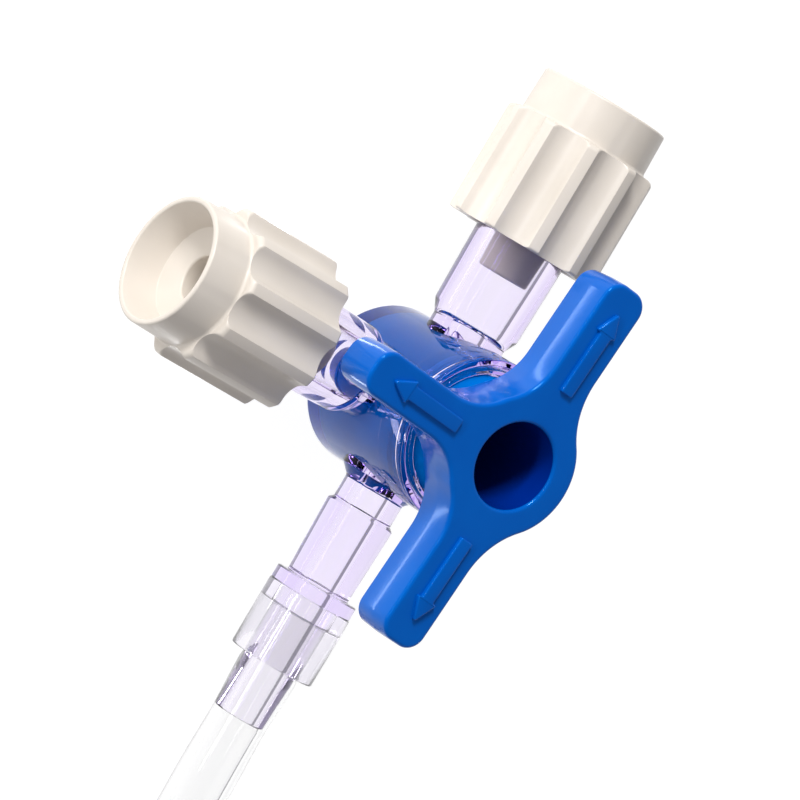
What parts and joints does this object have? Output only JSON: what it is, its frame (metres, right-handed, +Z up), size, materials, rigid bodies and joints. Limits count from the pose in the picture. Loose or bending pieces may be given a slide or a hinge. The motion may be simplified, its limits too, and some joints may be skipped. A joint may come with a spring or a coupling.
{
  "type": "three way stopcock",
  "caption": "Small medical stopcock: clear violet body, blue three-armed tap with arrows, ivory fluted luer caps and a short clear extension line with a male luer lock.",
  "frame": {"origin": "centre of the barrel's flat foot, on the tap's axis", "axes": "+Z up along the tap's axis, +X along the outlet and its tubing, -X the in-line luer port, -Y the side luer port"},
  "size_m": [0.0902, 0.0628, 0.0182],
  "materials": {
    "clear_violet": "clear, violet tinted",
    "blue": "gloss",
    "ivory": "satin",
    "clear_sleeve": "clear",
    "clear_tubing": "clear, flexible",
    "clear_connector": "clear",
    "white": "satin"
  },
  "bodies": {
    "stopcock": {"stopcock_body": "clear_violet", "tube_sleeve": "clear_sleeve", "extension_tube": "clear_tubing", "line_connector": "clear_connector"},
    "tap": {"tap": "blue"},
    "inline_cap": {"inline_cap": "ivory"},
    "side_cap": {"side_cap": "ivory"},
    "lock_nut": {"lock_nut": "white"}
  },
  "joints": [
    {"name": "tap_turn", "type": "hinge", "parent": "stopcock", "child": "tap", "pos_m": [0, 0, 0.00586], "axis": [0, 0, 1], "continuous": true},
    {"name": "inline_cap_off", "type": "slide", "parent": "stopcock", "child": "inline_cap", "axis": [-1, 0, 0], "range_m": [0, 0.012]},
    {"name": "side_cap_off", "type": "slide", "parent": "stopcock", "child": "side_cap", "axis": [0, -1, 0], "range_m": [0, 0.012]},
    {"name": "nut_turn", "type": "hinge", "parent": "stopcock", "child": "lock_nut", "pos_m": [0.02681, -0.05174, 0.00493], "axis": [-0.9978, -0.066, 0], "continuous": true}
  ]
}
